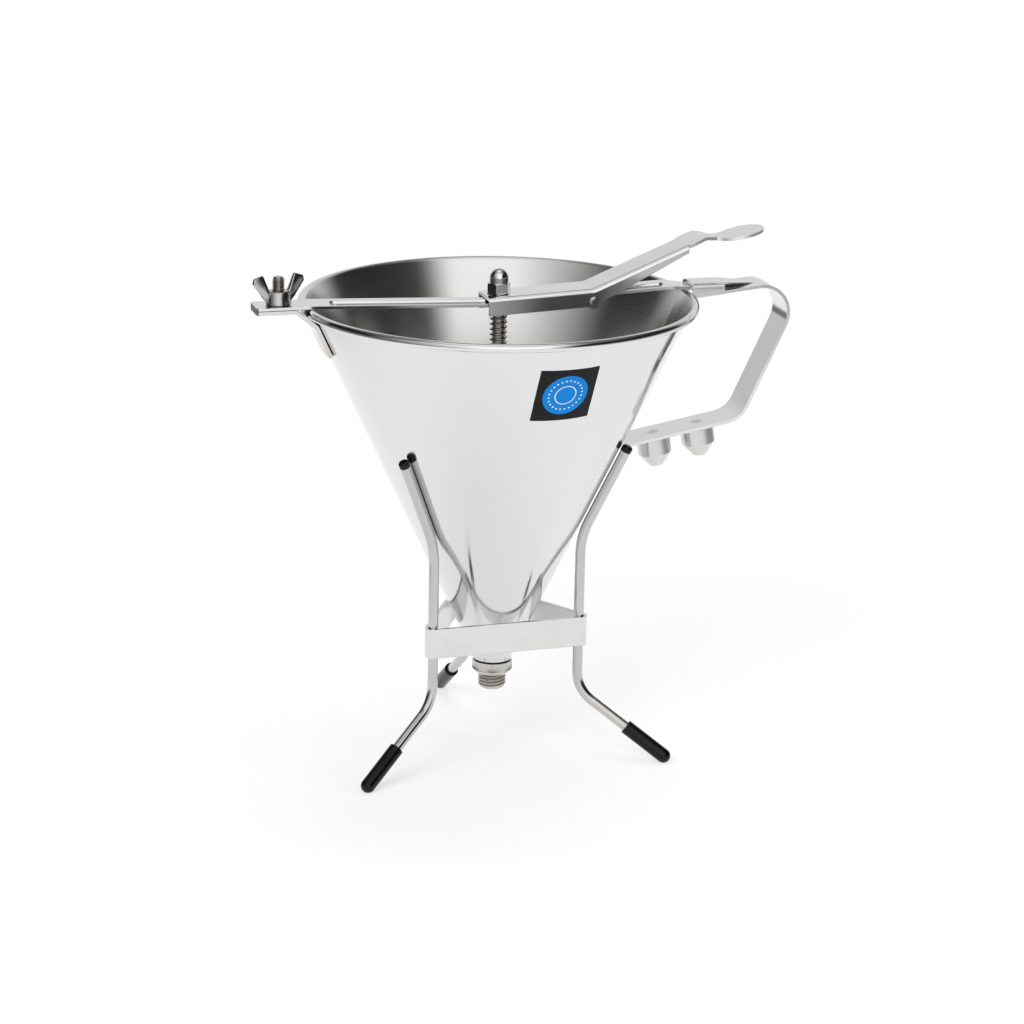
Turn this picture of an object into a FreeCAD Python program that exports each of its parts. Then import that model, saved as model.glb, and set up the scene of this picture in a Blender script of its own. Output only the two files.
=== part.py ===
import FreeCAD, Part
import math
import os

V = FreeCAD.Vector
os.makedirs("parts", exist_ok=True)

# Piston funnel for batter, in a three-legged rod stand. All sizes are in millimetres.
# +Z is up and the funnel's axis is the Z axis. Z = 0 is the shoulder on the outlet where a
# nozzle seats. The crossbar and the handle lie in the XZ plane, with the handle on +X.

# Funnel body
cone_foot_radius = 10.17
cone_wall = 1.0
rim_radius = 97.3
rim_height = 192.0
bead_radius = 2.1

# Outlet at the foot of the cone
thread_radius = 6.9
thread_length = 7.8
outlet_bore_radius = 4.5
collar_radius = 10.0
collar_height = 6.8
collar_chamfer = 2.2
outlet_end_chamfer = 1.0
gasket_thickness = 1.0
gasket_inset = 0.6
socket_radius = 9.6
socket_lip = 2.3
socket_depth = 5.8
socket_mouth_height = 2.4
seat_depth = 1.9

# Stand
outlet_above_floor = 40.0
leg_count = 3
leg_radius_from_axis = 43.5
stand_turn = 91.5
rod_radius = 2.5
foot_slope = 35.0
foot_reach = 88.4
foot_bend_radius = 18.0
top_bend_radius = 40.0
leg_top_height = 119.6
band_height = 15.0
band_thickness = 1.5
band_bottom_above_floor = 58.7
band_seam_width = 0.4
cap_radius = 3.6
cap_length = 27.5
cap_floor = 2.6
cap_flat = 0.3
plug_radius = 2.7
plug_head = 3.2
plug_round = 1.5
plug_stem_radius = 1.5
plug_stem_length = 6.0

# Crossbar, clamped on the left and hooked under the handle on the right
bar_width = 16.0
bar_thickness = 1.5
bar_overhang = 23.7
bar_flat_inset = 5.3
bar_low_point = -10.0
bar_sag = 2.9
bar_rise_angle = 2.6
bar_high_inset = 10.8
bar_bend_radius = 12.0
bar_corner_radius = 1.5
tongue_start_beyond_rim = 0.7
tongue_end_beyond_rim = 14.7
tongue_width = 12.0
tongue_neck = 2.0
tongue_taper = 9.0
rib_width = 7.0
rib_height = 1.0
rib_slope = 1.0
rib_left_inset = 12.3
rib_right_inset = 12.8

# Clamp on the left
stud_beyond_rim = 11.7
stud_radius = 3.0
stud_top_above_bar = 13.4
stud_chamfer = 0.5
bracket_thickness = 2.0
bracket_foot_drop = 24.0
bracket_knee_drop = 8.7
bracket_bend_radius = 3.0
wing_hub_radius = 6.2
wing_hub_top_radius = 5.2
wing_hub_height = 6.6
wing_span = 29.0
wing_height = 14.6
wing_root = 3.6
wing_blade_width = 6.6
wing_thickness = 2.6
wing_lift = 1.2
wing_sink = 0.4
wing_tip_drop = 3.3
wing_tip_round = 2.3
wing_turn = 14.0

# Handle, a flat strip bent in the XZ plane
handle_width = 20.0
handle_thickness = 1.6
handle_top_drop = 2.1
handle_top_slope = 5.9
handle_grip_lean = 24.7
handle_grip_beyond_rim = 58.6
handle_lower_drop = 65.5
handle_lower_slope = 10.0
handle_bend_radius = 14.2
handle_trim = 6.0
arch_wall = 1.6
arch_side_clearance = 0.5
arch_corner_radius = 2.6
arch_straight_beyond_rim = 16.2
arch_fade_beyond_rim = 33.7
arch_fade_width = 7.0

# Spare nozzles under the lower arm
nozzle_from_corner = (42.95, 20.15)
nozzle_tip_bore = (2.6, 1.6)
nozzle_body_radius = 8.4
nozzle_length = 15.2
nozzle_cone_length = 6.4
nozzle_tip_radius = 3.6
nozzle_edge_chamfer = 0.6
nozzle_tip_land = 2.0
nozzle_throat_step = 1.2
nozzle_stud_length = 8.0
nozzle_stud_chamfer = 0.8
nozzle_thread_depth = 9.0

# Lever, an inverted channel that ends in a leaf for the thumb
lever_sheet = 1.5
lever_left = -7.5
lever_depth = 8.7
lever_depth_at_end = 3.0
lever_slope = 22.0
lever_bend_radius = 9.0
lever_channel_end = 93.5
lever_hump_x = 102.5
lever_hump_radius = 7.0
lever_dip_x = 112.0
lever_dip_drop = 2.0
lever_dip_radius = 30.0
lever_tip_x = 135.0
lever_tip_rise = 4.6
lever_shoulder_x = 96.5
lever_waist_x = 109.0
lever_waist_width = 9.5
leaf_width = 20.0
leaf_middle_x = 125.0
lever_corner_radius = 2.0
lever_travel = 14.0
fulcrum_x = 45.5
fulcrum_pin_radius = 1.5
fulcrum_lug_radius = 3.8
fulcrum_head_radius = 2.4
fulcrum_face_radius = 1.45
fulcrum_head = 0.9

# Piston rod, spring and valve
piston_rod_radius = 3.0
piston_rod_chamfer = 0.6
guide_fit = 0.06
spring_wire = 1.0
spring_outer_radius = 4.3
spring_length = 34.0
spring_pitch = 2.6
spring_end_bend = 1.3
spring_collar_radius = 5.6
spring_collar_height = 4.0
spring_collar_chamfer = 0.6
plug_nose_length = 10.4
plug_nose_chamfer = 1.0
plug_neck_wall = 1.2
plug_shoulder_radius = 6.1
plug_skirt = 4.2
plug_taper = 6.0
nut_across_flats = 10.0
nut_hex_height = 5.0
nut_corner_chamfer = 0.46
nut_dome_radius = 4.6
nut_height = 12.0
nut_engagement = 9.0

# Clearances
weld_gap = 0.05
moving_gap = 0.3
screw_fit = 0.05
hole_fit = 0.3
side_play = 0.5

# Length of a cutter that goes right through a piece
through = 200.0

# Heights and places worked out from the sizes above
floor_z = -outlet_above_floor
collar_top = collar_height
socket_bottom = collar_top + gasket_thickness
socket_top_of_lip = socket_bottom + socket_lip
cone_foot_z = socket_top_of_lip + weld_gap
bead_centre_r = rim_radius - bead_radius
bead_centre_z = rim_height - bead_radius

# Slope of the wall: its outside runs from the foot and passes the bead's centre at this lap
bead_lap = bead_radius - cone_wall
foot_to_bead_r = bead_centre_r - cone_foot_radius
foot_to_bead_z = bead_centre_z - cone_foot_z
cone_half_angle = math.atan2(foot_to_bead_r, foot_to_bead_z) - math.asin(
    bead_lap / math.hypot(foot_to_bead_r, foot_to_bead_z))
cone_tan = math.tan(cone_half_angle)
cone_cos = math.cos(cone_half_angle)
cone_sin = math.sin(cone_half_angle)
wall_across = cone_wall / cone_cos

# Crossbar and clamp, placed from the rim
bar_left = -(rim_radius + bar_overhang)
bar_flat_end = -(rim_radius - bar_flat_inset)
bar_high_point = rim_radius - bar_high_inset
tongue_start = rim_radius + tongue_start_beyond_rim
tongue_end = rim_radius + tongue_end_beyond_rim
rib_left = -(rim_radius - rib_left_inset)
rib_right = rim_radius - rib_right_inset
stud_x = -(rim_radius + stud_beyond_rim)
bracket_foot_height = rim_height - bracket_foot_drop
bracket_knee_height = rim_height - bracket_knee_drop
bar_flat_bottom = rim_height + moving_gap
bar_rise = math.tan(math.radians(bar_rise_angle))
bar_low_bottom = bar_flat_bottom - bar_sag

# Handle and lever
handle_top_end_height = rim_height - handle_top_drop
handle_corner_x = rim_radius + handle_grip_beyond_rim
handle_lower_corner_height = rim_height - handle_lower_drop
arch_straight_end = rim_radius + arch_straight_beyond_rim
arch_fade_end = rim_radius + arch_fade_beyond_rim
lever_width = bar_width + 2 * (side_play + lever_sheet)
spring_mean_radius = spring_outer_radius - spring_wire / 2


def cone_outer_radius(z):
    return cone_foot_radius + (z - cone_foot_z) * cone_tan


def cone_inner_radius(z):
    return cone_outer_radius(z) - wall_across


def bar_bottom(x):
    """Height of the crossbar's underside on its right half."""
    return bar_low_bottom + (x - bar_low_point) * bar_rise


def save(shape, name):
    shape.exportStep("parts/%s.step" % name)
    print("%-18s volume %9.1f" % (name, shape.Volume))


def polyline_face(points):
    return Part.Face(Part.makePolygon(points + [points[0]]))


def revolve_profile(points):
    """Turn a closed outline of (radius, height) points about the Z axis."""
    face = polyline_face([V(r, 0, z) for r, z in points])
    return face.revolve(V(0, 0, 0), V(0, 0, 1), 360)


def bent_path(points, radii):
    """Straight runs and tangent arcs that join a bent line's corners.

    Gives a list of ("line", start, end) and ("arc", start, end, centre, radius).
    """
    pieces = []
    start = points[0]
    for before, corner, after, radius in zip(points, points[1:], points[2:], radii):
        d_in = (corner - before).normalize()
        d_out = (after - corner).normalize()
        turn = d_in.getAngle(d_out)
        reach = radius * math.tan(turn / 2)
        a = corner - d_in * reach
        b = corner + d_out * reach
        bisector = (d_out - d_in).normalize()
        centre = corner + bisector * (radius / math.cos(turn / 2))
        pieces.append(("line", start, a))
        pieces.append(("arc", a, b, centre, radius))
        start = b
    pieces.append(("line", start, points[-1]))
    return pieces


def arc_edge(a, b, centre, radius):
    middle = ((a + b) * 0.5 - centre).normalize() * radius + centre
    return Part.Arc(a, middle, b).toShape()


def strip_face(points, radii, thickness):
    """Side view of a bent strip: a band of even thickness about a bent line in XZ."""
    near = []
    far = []
    half = thickness / 2
    for piece in bent_path(points, radii):
        if piece[0] == "line":
            _, a, b = piece
            d = (b - a).normalize()
            n = V(-d.z, 0, d.x)
            near.append(Part.LineSegment(a + n * half, b + n * half).toShape())
            far.append(Part.LineSegment(a - n * half, b - n * half).toShape())
        else:
            _, a, b, centre, radius = piece
            for side, edges in ((1, near), (-1, far)):
                r = radius - half if (n * side).dot(centre - a) > 0 else radius + half
                pa = centre + (a - centre).normalize() * r
                pb = centre + (b - centre).normalize() * r
                edges.append(arc_edge(pa, pb, centre, r))
    first_cap = Part.LineSegment(far[0].Vertexes[0].Point, near[0].Vertexes[0].Point)
    last_cap = Part.LineSegment(near[-1].Vertexes[-1].Point, far[-1].Vertexes[-1].Point)
    edges = near + [last_cap.toShape()] + far + [first_cap.toShape()]
    return Part.Face(Part.Wire(Part.__sortEdges__(edges)))


def bent_strip(points, radii, thickness, width):
    face = strip_face([V(x, -width / 2, z) for x, z in points], radii, thickness)
    return face.extrude(V(0, width, 0))


def rod_along(points, radii, radius):
    """Round rod along a bent line in space."""
    edges = []
    for piece in bent_path(points, radii):
        if piece[0] == "line":
            edges.append(Part.LineSegment(piece[1], piece[2]).toShape())
        else:
            edges.append(arc_edge(*piece[1:5]))
    path = Part.Wire(edges)
    d = (points[1] - points[0]).normalize()
    ring = Part.Wire([Part.Circle(points[0], d, radius).toShape()])
    return path.makePipeShell([ring], True, False)


def cylinder_between(a, b, radius):
    return Part.makeCylinder(radius, (b - a).Length, a, b - a)


def hexagon_prism(across_flats, height, base):
    corner = across_flats / math.sqrt(3)
    turns = [math.radians(60 * i) for i in range(6)]
    points = [base + V(corner * math.cos(t), corner * math.sin(t), 0) for t in turns]
    return polyline_face(points).extrude(V(0, 0, height))


def stadium_wire(x0, x1, width, z):
    """Slot outline with half-round ends at height z, between x0 and x1."""
    r = width / 2
    a, b, c, d = V(x0 + r, -r, z), V(x1 - r, -r, z), V(x1 - r, r, z), V(x0 + r, r, z)
    return Part.Wire([
        Part.LineSegment(a, b).toShape(),
        Part.Arc(b, V(x1, 0, z), c).toShape(),
        Part.LineSegment(c, d).toShape(),
        Part.Arc(d, V(x0, 0, z), a).toShape()])


# Funnel

def funnel_cone():
    """Conical shell with the beaded rim at its mouth."""
    centre = V(bead_centre_r, 0, bead_centre_z)
    square_in = V(-cone_cos, 0, cone_sin)
    up_wall = V(cone_sin, 0, cone_cos)
    down = math.sqrt(bead_radius ** 2 - bead_lap ** 2)
    inner_foot = V(cone_inner_radius(cone_foot_z), 0, cone_foot_z)
    outer_foot = V(cone_foot_radius, 0, cone_foot_z)
    outer_top = centre + square_in * bead_lap - up_wall * down
    inner_top = centre + square_in * bead_radius
    far_side = centre - square_in * bead_radius
    outline = Part.Wire([
        Part.LineSegment(inner_foot, outer_foot).toShape(),
        Part.LineSegment(outer_foot, outer_top).toShape(),
        Part.Arc(outer_top, far_side, inner_top).toShape(),
        Part.LineSegment(inner_top, inner_foot).toShape()])
    return Part.Face(outline).revolve(V(0, 0, 0), V(0, 0, 1), 360)


def outlet_socket():
    """Turned ring welded in the foot of the cone, tapped for the outlet from below."""
    bore = thread_radius + screw_fit
    thread_end = socket_bottom + socket_depth
    mouth_z = thread_end + socket_mouth_height
    skirt = weld_gap / cone_cos + wall_across
    step_z = socket_top_of_lip
    return revolve_profile([
        (bore, socket_bottom),
        (socket_radius, socket_bottom),
        (socket_radius, step_z),
        (cone_outer_radius(step_z) - skirt, step_z),
        (cone_outer_radius(mouth_z) - skirt, mouth_z),
        (bore, thread_end)])


def outlet_gasket():
    ring = Part.makeCylinder(socket_radius - gasket_inset, gasket_thickness, V(0, 0, collar_top))
    return ring.cut(Part.makeCylinder(thread_radius + screw_fit, gasket_thickness,
                                      V(0, 0, collar_top)))


def outlet_adapter():
    """Screwed outlet: valve seat and thread above, knurled collar, thread for the nozzles."""
    top = socket_bottom + socket_depth - weld_gap
    seat_z = top - seat_depth
    outside = revolve_profile([
        (0, -thread_length),
        (thread_radius - outlet_end_chamfer, -thread_length),
        (thread_radius, outlet_end_chamfer - thread_length),
        (thread_radius, 0),
        (collar_radius - collar_chamfer, 0),
        (collar_radius, collar_chamfer),
        (collar_radius, collar_top),
        (thread_radius, collar_top),
        (thread_radius, top),
        (0, top)])
    bore = Part.makeCylinder(outlet_bore_radius, top + thread_length, V(0, 0, -thread_length))
    seat = Part.makeCone(outlet_bore_radius, outlet_bore_radius + seat_depth, seat_depth,
                         V(0, 0, seat_z))
    return outside.cut(bore).cut(seat)


# Stand

def leg_direction(number):
    turn = math.radians(stand_turn + number * 360 / leg_count)
    return V(math.cos(turn), math.sin(turn), 0)


def leg_points(direction):
    """Corners of a leg's centre line, from the tip that holds the cone down to the foot."""
    slope = math.tan(math.radians(foot_slope))
    tip_r = cone_outer_radius(leg_top_height) + (plug_radius + moving_gap) / cone_cos
    bend_z = leg_top_height - (tip_r - leg_radius_from_axis) / cone_tan
    foot_z = floor_z + cap_radius - cap_flat
    knee_z = foot_z + (foot_reach - leg_radius_from_axis) * slope
    corners = [(tip_r, leg_top_height), (leg_radius_from_axis, bend_z),
               (leg_radius_from_axis, knee_z), (foot_reach, foot_z)]
    return [direction * r + V(0, 0, z) for r, z in corners]


def stand_leg(direction):
    points = leg_points(direction)
    cap_way = (points[2] - points[3]).normalize()
    points[3] = points[3] + cap_way * cap_floor
    rod = rod_along(points, [top_bend_radius, foot_bend_radius], rod_radius)
    into = (points[1] - points[0]).normalize()
    socket = cylinder_between(points[0], points[0] + into * (plug_stem_length + weld_gap),
                              plug_stem_radius + weld_gap)
    return rod.cut(socket)


def foot_cap(direction):
    """Dipped cap on the foot: a closed sleeve with a round end that stands on the floor."""
    points = leg_points(direction)
    end = points[3]
    up = (points[2] - end).normalize()
    sleeve = cylinder_between(end, end + up * (cap_length - cap_radius), cap_radius)
    cap = sleeve.fuse(Part.makeSphere(cap_radius, end)).removeSplitter()
    hole = cylinder_between(end + up * cap_floor, end + up * cap_length, rod_radius + weld_gap)
    wide = 2 * cap_length
    corner = end - V(cap_length, cap_length, cap_radius - cap_flat + cap_radius)
    under = Part.makeBox(wide, wide, cap_radius, corner)
    return cap.cut(hole).cut(under)


def tip_plug(direction):
    """Soft plug in the leg's upper end, with a domed head that the cone rests on."""
    points = leg_points(direction)
    down = (points[1] - points[0]).normalize()
    stem = cylinder_between(points[0], points[0] + down * plug_stem_length, plug_stem_radius)
    head = cylinder_between(points[0], points[0] - down * plug_head, plug_radius)
    rims = [e for e in head.Edges if e.Length > plug_radius and abs(
        (e.CenterOfMass - points[0]).dot(down) + plug_head) < 0.01]
    return head.makeFillet(plug_round, rims).fuse(stem)


def rounded_triangle(radius, z, height):
    """Prism whose outline wraps round circles on the leg centres."""
    centres = [leg_direction(i) * leg_radius_from_axis for i in range(leg_count)]
    edges = []
    ends = []
    for i in range(leg_count):
        here, after = centres[i], centres[(i + 1) % leg_count]
        before = centres[i - 1]
        side_out = (after - here).normalize().cross(V(0, 0, 1))
        side_in = (here - before).normalize().cross(V(0, 0, 1))
        out_way = leg_direction(i)
        a, b = here + side_in * radius, here + side_out * radius
        edges.append(Part.Arc(a, here + out_way * radius, b).toShape())
        ends.append((a, b))
    for i in range(leg_count):
        edges.append(Part.LineSegment(ends[i][1], ends[(i + 1) % leg_count][0]).toShape())
    wire = Part.Wire(Part.__sortEdges__(edges))
    wire.translate(V(0, 0, z))
    return Part.Face(wire).extrude(V(0, 0, height))


def stand_band():
    """Flat strip bent round the three rods, its ends meeting in the side by the rear leg."""
    z = floor_z + band_bottom_above_floor
    inner = rod_radius + weld_gap
    ring = rounded_triangle(inner + band_thickness, z, band_height).cut(
        rounded_triangle(inner, z, band_height))
    rear, right = leg_direction(0), leg_direction(leg_count - 1)
    along = (right - rear).normalize()
    middle = (right + rear) * leg_radius_from_axis * 0.5
    cutter = Part.makeBox(band_seam_width, through, band_height,
                          V(-band_seam_width / 2, -leg_radius_from_axis / 2, 0))
    cutter.rotate(V(0, 0, 0), V(0, 0, 1), math.degrees(math.atan2(along.y, along.x)))
    cutter.translate(middle + V(0, 0, z))
    return ring.cut(cutter)


# Crossbar and its clamp

def crossbar_points():
    """Middle of the bar's thickness, from the clamped end to the tongue."""
    half = bar_thickness / 2
    high = bar_bottom(bar_high_point)
    return [(bar_left, bar_flat_bottom + half), (bar_flat_end, bar_flat_bottom + half),
            (bar_low_point, bar_low_bottom + half), (bar_high_point, high + half),
            (tongue_start, bar_flat_bottom + half), (tongue_end, bar_flat_bottom + half)]


def crossbar_outline():
    """Plan of the bar: a plain strip that narrows to a round-ended tongue."""
    w, t = bar_width / 2, tongue_width / 2
    z = bar_low_bottom - through / 2
    neck = tongue_start - tongue_neck
    shoulder = neck - tongue_taper
    top = [V(bar_left, w, z), V(shoulder, w, z), V(neck, t, z), V(tongue_end - t, t, z)]
    low = [V(p.x, -p.y, z) for p in reversed(top)]
    edges = [Part.LineSegment(a, b).toShape() for a, b in zip(top, top[1:])]
    edges.append(Part.Arc(top[-1], V(tongue_end, 0, z), low[0]).toShape())
    edges += [Part.LineSegment(a, b).toShape() for a, b in zip(low, low[1:])]
    edges.append(Part.LineSegment(low[-1], top[0]).toShape())
    plan = Part.Face(Part.Wire(edges)).extrude(V(0, 0, through))
    corners = [e for e in plan.Edges if e.BoundBox.ZLength > through / 2
               and e.CenterOfMass.x < bar_left + bar_corner_radius]
    return plan.makeFillet(bar_corner_radius, corners)


def rib_half(x0, x1, origin, angle, inside):
    """Half of the pressed rib, lofted in the plane of the bar and laid on it."""
    shrink = bar_thickness if inside else 0
    base = -rib_slope if inside else bar_thickness / 2
    width = rib_width - shrink
    top = rib_height if inside else bar_thickness + rib_height
    foot = stadium_wire(x0 + shrink / 2, x1 - shrink / 2, width, base)
    crown = stadium_wire(x0 + shrink / 2 + rib_slope, x1 - shrink / 2 - rib_slope,
                         width - 2 * rib_slope, top)
    rib = Part.makeLoft([foot, crown], True, True)
    rib.rotate(V(0, 0, 0), V(0, 1, 0), -angle)
    rib.translate(origin)
    return rib


def crossbar():
    strip = bent_strip(crossbar_points(), [bar_bend_radius * 2, bar_bend_radius * 2,
                                           bar_bend_radius, bar_bend_radius],
                       bar_thickness, bar_width)
    bar = strip.common(crossbar_outline())
    low = V(bar_low_point, 0, bar_low_bottom)
    left_angle = math.degrees(math.atan2(-bar_sag, bar_low_point - bar_flat_end))
    overlap = rib_width
    spans = ((rib_left - bar_low_point, overlap, left_angle),
             (-overlap, rib_right - bar_low_point, bar_rise_angle))
    for inside in (False, True):
        for x0, x1, angle in spans:
            piece = rib_half(x0, x1, low, angle, inside)
            bar = bar.cut(piece) if inside else bar.fuse(piece)
    start = bar_low_bottom - through / 2
    guide = Part.makeCylinder(piston_rod_radius + guide_fit, through, V(0, 0, start))
    stud_hole = Part.makeCylinder(stud_radius + hole_fit, through, V(stud_x, 0, start))
    return bar.cut(guide).cut(stud_hole)


def clamp_bracket():
    """Strip welded to the cone, turned out under the rim's bead to carry the bar's end."""
    half = bracket_thickness / 2
    flat_z = bar_flat_bottom - half
    away = (half + weld_gap) / cone_cos

    def beside_cone(z):
        return V(-cone_outer_radius(z) - away, 0, z)

    foot, knee = beside_cone(bracket_foot_height), beside_cone(bracket_knee_height)
    bead = V(-bead_centre_r, 0, bead_centre_z)
    to_bead = bead - knee
    clear = bead_radius + half + 2 * weld_gap
    angle = math.atan2(to_bead.z, to_bead.x) + math.asin(clear / to_bead.Length)
    run = (flat_z - knee.z) / math.tan(angle)
    shoulder = V(knee.x + run, 0, flat_z)
    corners = [(bar_left, flat_z), (shoulder.x, shoulder.z), (knee.x, knee.z), (foot.x, foot.z)]
    strip = bent_strip(corners, [bracket_bend_radius] * 2, bracket_thickness, bar_width)
    ends = [e for e in strip.Edges if abs(e.Length - bracket_thickness) < 0.01]
    strip = strip.makeFillet(bar_corner_radius, ends)
    hole = Part.makeCylinder(stud_radius + weld_gap / 2, 2 * bracket_thickness,
                             V(stud_x, 0, flat_z - bracket_thickness))
    return strip.cut(hole)


def clamp_stud():
    bottom = bar_flat_bottom - bracket_thickness
    top = bar_flat_bottom + bar_thickness + stud_top_above_bar
    stud = Part.makeCylinder(stud_radius, top - bottom, V(stud_x, 0, bottom))
    tip = [e for e in stud.Edges if abs(e.CenterOfMass.z - top) < 0.01]
    return stud.makeChamfer(stud_chamfer, tip)


def wing_nut():
    """Wing nut: a tapered hub with two flat blades that flare outward."""
    base = bar_flat_bottom + bar_thickness + weld_gap * 2
    hub = Part.makeCone(wing_hub_radius, wing_hub_top_radius, wing_hub_height, V(0, 0, base))
    half_span, half = wing_span / 2, wing_thickness / 2
    low, high = base + wing_lift, base + wing_height
    blade = polyline_face([V(wing_root, -half, low),
                           V(wing_hub_radius - wing_sink, -half, low),
                           V(half_span, -half, high - wing_tip_drop),
                           V(half_span - wing_blade_width, -half, high),
                           V(wing_root, -half, base + wing_hub_height - wing_sink)])
    blade = blade.extrude(V(0, wing_thickness, 0))
    tips = [e for e in blade.Edges if abs(e.BoundBox.YLength - wing_thickness) < 0.01
            and e.CenterOfMass.z > high - wing_tip_drop - 0.01]
    blade = blade.makeFillet(wing_tip_round, tips)
    other = blade.copy()
    other.rotate(V(0, 0, 0), V(0, 0, 1), 180)
    nut = hub.fuse([blade, other])
    nut = nut.cut(Part.makeCylinder(stud_radius + screw_fit, through,
                                    V(0, 0, base - through / 2)))
    nut.rotate(V(0, 0, 0), V(0, 0, 1), wing_turn)
    nut.translate(V(stud_x, 0, 0))
    return nut


# Handle and the nozzles that it stores

def handle_middle(x):
    """Height of the middle of the handle's top arm."""
    return handle_top_end_height + (x - rim_radius) * math.tan(math.radians(handle_top_slope))


def handle_corners():
    """Middle of the strip, from the rim round the grip and back to the cone."""
    low_slope = math.tan(math.radians(handle_lower_slope))
    lean = math.tan(math.radians(handle_grip_lean))
    start_x = rim_radius - handle_trim
    start = (start_x, handle_middle(start_x))
    upper = (handle_corner_x, handle_middle(handle_corner_x))
    lower_x = handle_corner_x - (upper[1] - handle_lower_corner_height) * lean
    lower = (lower_x, handle_lower_corner_height)
    end_x = cone_outer_radius(handle_lower_corner_height) - handle_width
    end = (end_x, handle_lower_corner_height - (lower_x - end_x) * low_slope)
    return [start, upper, lower, end]


def arch_section(x, width, top, base, r):
    """Cross-section of the pressed arch at x: a flat top on shoulders of radius r."""
    w = width / 2
    k = r * (1 - math.sqrt(0.5))
    a, b = V(x, -w, base), V(x, -w, top - r)
    c, d = V(x, -w + r, top), V(x, w - r, top)
    e, f = V(x, w, top - r), V(x, w, base)
    return Part.Wire([
        Part.LineSegment(a, b).toShape(),
        Part.Arc(b, V(x, -w + k, top - k), c).toShape(),
        Part.LineSegment(c, d).toShape(),
        Part.Arc(d, V(x, w - k, top - k), e).toShape(),
        Part.LineSegment(e, f).toShape(),
        Part.LineSegment(f, a).toShape()])


def pressed_arch(inside):
    """The arch that holds the tongue: straight over it, then fading into the strip."""
    half = handle_thickness / 2
    grow = 0 if inside else arch_wall
    radius = arch_corner_radius - arch_wall + grow
    width = tongue_width + 2 * arch_side_clearance + 2 * grow
    fade_width = arch_fade_width - 2 * arch_wall + 2 * grow
    top = bar_flat_bottom + bar_thickness + moving_gap + grow
    x0, x1, x2 = rim_radius - handle_trim, arch_straight_end, arch_fade_end
    if inside:
        x0, x2 = x0 - arch_wall, x2 - arch_wall
        fade_top, drop = handle_middle(x2) - half - weld_gap, half + arch_wall
    else:
        fade_top, drop = handle_middle(x2) + half - weld_gap, half - handle_thickness / 8
    sections = [arch_section(x0, width, top, handle_middle(x0) - drop, radius),
                arch_section(x1, width, top, handle_middle(x1) - drop, radius),
                arch_section(x2, fade_width, fade_top, handle_middle(x2) - drop, radius / 4)]
    return Part.makeLoft(sections, True, True)


def handle():
    strip = bent_strip(handle_corners(), [handle_bend_radius] * 2, handle_thickness, handle_width)
    body = strip.fuse(pressed_arch(False)).cut(pressed_arch(True))
    rim_cut = Part.makeCylinder(rim_radius + weld_gap, 4 * handle_width,
                                V(0, 0, rim_height - 2 * handle_width))
    low_z = handle_lower_corner_height - 2 * handle_width
    cone_cut = Part.makeCone(cone_outer_radius(low_z) + weld_gap,
                             cone_outer_radius(rim_height) + weld_gap,
                             rim_height - low_z, V(0, 0, low_z))
    return body.cut(rim_cut).cut(cone_cut)


def nozzle_place(number):
    """Point on the underside of the lower arm where a nozzle's axis starts."""
    slope = math.radians(handle_lower_slope)
    corner = handle_corners()[2]
    back = nozzle_from_corner[number]
    down = V(math.sin(slope), 0, -math.cos(slope))
    middle = V(corner[0] - back, 0, corner[1] - back * math.tan(slope))
    return middle + down * handle_thickness / 2


def place_down(shape, number):
    """Move a shape modelled down -Z from the origin to its place under the arm."""
    shape.rotate(V(0, 0, 0), V(0, 1, 0), -handle_lower_slope)
    shape.translate(nozzle_place(number))
    return shape


def nozzle_studs():
    studs = []
    for number in range(len(nozzle_from_corner)):
        stud = Part.makeCylinder(thread_radius, nozzle_stud_length,
                                 V(0, 0, -nozzle_stud_length - weld_gap))
        tip = [e for e in stud.Edges
               if abs(e.CenterOfMass.z + nozzle_stud_length + weld_gap) < 0.01]
        studs.append(place_down(stud.makeChamfer(nozzle_stud_chamfer, tip), number))
    return Part.makeCompound(studs)


def nozzle(number):
    """Spare nozzle: turned body with a conical end, tapped to fit the outlet thread."""
    top, bottom = -moving_gap, -nozzle_length
    shoulder = bottom + nozzle_cone_length
    depth = top - nozzle_thread_depth
    land = bottom + nozzle_tip_land
    bore, tip_bore = thread_radius + screw_fit, nozzle_tip_bore[number]
    body = revolve_profile([
        (tip_bore, bottom),
        (nozzle_tip_radius, bottom),
        (nozzle_body_radius, shoulder),
        (nozzle_body_radius, top - nozzle_edge_chamfer),
        (nozzle_body_radius - nozzle_edge_chamfer, top),
        (bore, top),
        (bore, depth),
        (thread_radius - nozzle_throat_step, depth),
        (tip_bore, land)])
    return place_down(body, number)


# Lever

def lever_web_line():
    """Corners of the web's middle line, lying along the bar and then rising to the leaf."""
    rest = bar_thickness + rib_height + moving_gap + lever_sheet / 2
    lift = rest / math.cos(math.radians(bar_rise_angle))
    slope = math.tan(math.radians(lever_slope))

    def along_bar(x):
        return bar_bottom(x) + lift

    bend = (fulcrum_x, along_bar(fulcrum_x))
    hump = (lever_hump_x, bend[1] + (lever_hump_x - fulcrum_x) * slope)
    dip = (lever_dip_x, hump[1] - lever_dip_drop)
    tip = (lever_tip_x, dip[1] + lever_tip_rise)
    return [(lever_left, along_bar(lever_left)), bend, hump, dip, tip]


def fulcrum_centre():
    gap = moving_gap + fulcrum_pin_radius
    return V(fulcrum_x, 0, bar_bottom(fulcrum_x) - gap / math.cos(math.radians(bar_rise_angle)))


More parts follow.
